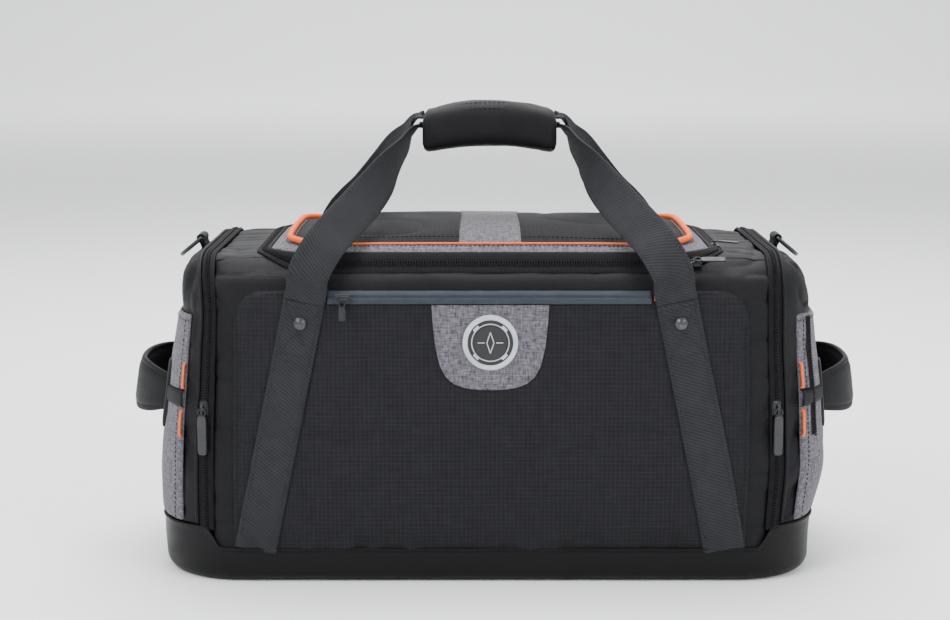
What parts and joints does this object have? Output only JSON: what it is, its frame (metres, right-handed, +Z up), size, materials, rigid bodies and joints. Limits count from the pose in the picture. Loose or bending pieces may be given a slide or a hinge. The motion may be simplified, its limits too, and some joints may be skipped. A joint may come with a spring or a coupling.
{
  "type": "flight bag",
  "caption": "Soft-sided flight crew holdall with a lift-up zipped lid, wrapped carrying handles, zipped end compartments with grab handles, a flat front pocket and a coated base.",
  "frame": {"origin": "centre of the flat base, on the surface the bag stands on", "axes": "+X towards the right end seen from the front, +Y towards the rear, +Z up; the front pocket faces -Y"},
  "size_m": [0.7, 0.3127, 0.435],
  "materials": {
    "boot_coated": "coated, slight sheen",
    "board": "matte",
    "ripstop": "ripstop weave",
    "nylon_black": "plain weave",
    "zip_tape_black": "coil and tape",
    "zip_tape_blue": "coated tape",
    "heather": "heather melange",
    "piping_orange": "woven piping",
    "lining": "plain lining",
    "foam": "closed-cell foam",
    "webbing": "twill webbing",
    "stud_metal": "satin black",
    "ring_metal": "satin black",
    "slider_metal": "satin black",
    "pull_rubber": "moulded",
    "badge_pale": "moulded",
    "badge_black": "moulded"
  },
  "bodies": {
    "root": {"badge_disc": "badge_black", "badge_rim": "badge_pale", "base_board": "board", "base_boot": "boot_coated", "front_panel": "ripstop", "front_pocket": "ripstop", "front_pocket_zip_tape": "zip_tape_blue", "front_strap_left": "webbing", "front_strap_right": "webbing", "front_wall_foam": "foam", "left_deck_panel": "nylon_black", "left_divider": "lining", "left_end_zip_tape": "zip_tape_black", "lid_hinge_strip": "nylon_black", "main_lining": "lining", "main_zip_tape": "zip_tape_black", "pocket_patch": "heather", "rear_panel": "ripstop", "rear_strap_left": "webbing", "rear_strap_right": "webbing", "rear_wall_foam": "foam", "right_deck_panel": "nylon_black", "right_divider": "lining", "right_end_zip_tape": "zip_tape_black", "strap_rivets": "stud_metal"},
    "lid": {"lid_border": "heather", "lid_top_panel": "ripstop", "lid_stripe": "heather", "lid_piping": "piping_orange", "lid_lining": "lining"},
    "front_handle": {"front_handle_webbing": "webbing", "handle_wrap": "nylon_black"},
    "rear_handle": {"rear_handle_webbing": "webbing"},
    "left_end_flap": {"left_end_panel": "nylon_black", "left_end_pocket": "heather", "left_end_piping": "piping_orange", "left_handle_anchors": "nylon_black", "left_ring_tab": "nylon_black"},
    "left_grab_handle": {"left_end_handle": "nylon_black"},
    "left_ring": {"left_d_ring": "ring_metal"},
    "left_end_zip_slider": {"left_end_slider": "slider_metal"},
    "left_end_zip_pull": {"left_end_pull": "pull_rubber"},
    "right_end_flap": {"right_end_panel": "nylon_black", "right_end_pocket": "heather", "right_end_piping": "piping_orange", "right_handle_anchors": "nylon_black", "right_ring_tab": "nylon_black", "right_end_pocket_zip": "zip_tape_black"},
    "right_grab_handle": {"right_end_handle": "nylon_black"},
    "right_ring": {"right_d_ring": "ring_metal"},
    "right_end_zip_slider": {"right_end_slider": "slider_metal"},
    "right_end_zip_pull": {"right_end_pull": "pull_rubber"},
    "pocket_zip_slider": {"pocket_slider": "slider_metal"},
    "pocket_zip_pull": {"pocket_pull": "slider_metal"},
    "lid_zip_slider_front": {"lid_slider_front": "slider_metal"},
    "lid_zip_pull_front": {"lid_pull_front": "slider_metal"},
    "lid_zip_slider_side": {"lid_slider_side": "slider_metal"},
    "lid_zip_pull_side": {"lid_pull_side": "slider_metal"}
  },
  "joints": [
    {"name": "lid_hinge", "type": "hinge", "parent": "root", "child": "lid", "pos_m": [0, 0.12, 0.3003], "axis": [-1, 0, 0], "range_deg": [0, 90]},
    {"name": "front_handle_swing", "type": "hinge", "parent": "root", "child": "front_handle", "pos_m": [0, -0.1585, 0.271], "axis": [1, 0, 0], "range_deg": [0, 180]},
    {"name": "rear_handle_swing", "type": "hinge", "parent": "root", "child": "rear_handle", "pos_m": [0, 0.1525, 0.271], "axis": [-1, 0, 0], "range_deg": [0, 180]},
    {"name": "left_end_flap_hinge", "type": "hinge", "parent": "root", "child": "left_end_flap", "pos_m": [-0.306, 0, 0.0523], "axis": [0, -1, 0], "range_deg": [0, 80]},
    {"name": "left_grab_handle_swing", "type": "hinge", "parent": "left_end_flap", "child": "left_grab_handle", "pos_m": [-0.31, 0, 0.167], "axis": [0, -1, 0], "range_deg": [-16, 16], "stiffness_Nm_per_rad": 0.6},
    {"name": "left_ring_swing", "type": "hinge", "parent": "left_end_flap", "child": "left_ring", "pos_m": [-0.27861, 0, 0.30339], "axis": [0, 1, 0], "range_deg": [0, 150]},
    {"name": "left_end_zip", "type": "slide", "parent": "root", "child": "left_end_zip_slider", "axis": [0, 0, 1], "range_m": [0, 0.087]},
    {"name": "right_end_flap_hinge", "type": "hinge", "parent": "root", "child": "right_end_flap", "pos_m": [0.306, 0, 0.0523], "axis": [0, 1, 0], "range_deg": [0, 80]},
    {"name": "right_grab_handle_swing", "type": "hinge", "parent": "right_end_flap", "child": "right_grab_handle", "pos_m": [0.31, 0, 0.167], "axis": [0, 1, 0], "range_deg": [-16, 16], "stiffness_Nm_per_rad": 0.6},
    {"name": "right_ring_swing", "type": "hinge", "parent": "right_end_flap", "child": "right_ring", "pos_m": [0.27861, 0, 0.30339], "axis": [0, -1, 0], "range_deg": [0, 150]},
    {"name": "right_end_zip", "type": "slide", "parent": "root", "child": "right_end_zip_slider", "axis": [0, 0, 1], "range_m": [0, 0.087]},
    {"name": "pocket_zip", "type": "slide", "parent": "root", "child": "pocket_zip_slider", "axis": [1, 0, 0], "range_m": [0, 0.26]},
    {"name": "lid_zip_front", "type": "slide", "parent": "root", "child": "lid_zip_slider_front", "axis": [-1, 0, 0], "range_m": [0, 0.24]},
    {"name": "lid_zip_side", "type": "slide", "parent": "root", "child": "lid_zip_slider_side", "axis": [0, 1, 0], "range_m": [0, 0.12]},
    {"name": "pocket_zip_pull_flip", "type": "hinge", "parent": "pocket_zip_slider", "child": "pocket_zip_pull", "pos_m": [-0.133, -0.1594, 0.2655], "axis": [-1, 0, 0], "range_deg": [0, 150]},
    {"name": "lid_zip_pull_front_flip", "type": "hinge", "parent": "lid_zip_slider_front", "child": "lid_zip_pull_front", "pos_m": [0.185, -0.12883, 0.29815], "axis": [0, -0.8315, -0.5556], "range_deg": [0, 105]},
    {"name": "lid_zip_pull_side_flip", "type": "hinge", "parent": "lid_zip_slider_side", "child": "lid_zip_pull_side", "pos_m": [0.2115, -0.06, 0.3069], "axis": [-0.6222, -0.7828, 0], "range_deg": [0, 150]},
    {"name": "left_end_zip_pull_flip", "type": "hinge", "parent": "left_end_zip_slider", "child": "left_end_zip_pull", "pos_m": [-0.26267, -0.14553, 0.163], "axis": [-0.9222, 0.3867, 0], "range_deg": [0, 150]},
    {"name": "right_end_zip_pull_flip", "type": "hinge", "parent": "right_end_zip_slider", "child": "right_end_zip_pull", "pos_m": [0.26267, -0.14553, 0.163], "axis": [-0.9222, -0.3867, 0], "range_deg": [0, 150]}
  ],
  "couplings": [
    {"joint": "front_handle_swing", "follows": "lid_hinge", "ratio": 2},
    {"joint": "rear_handle_swing", "follows": "lid_hinge", "ratio": 2}
  ]
}
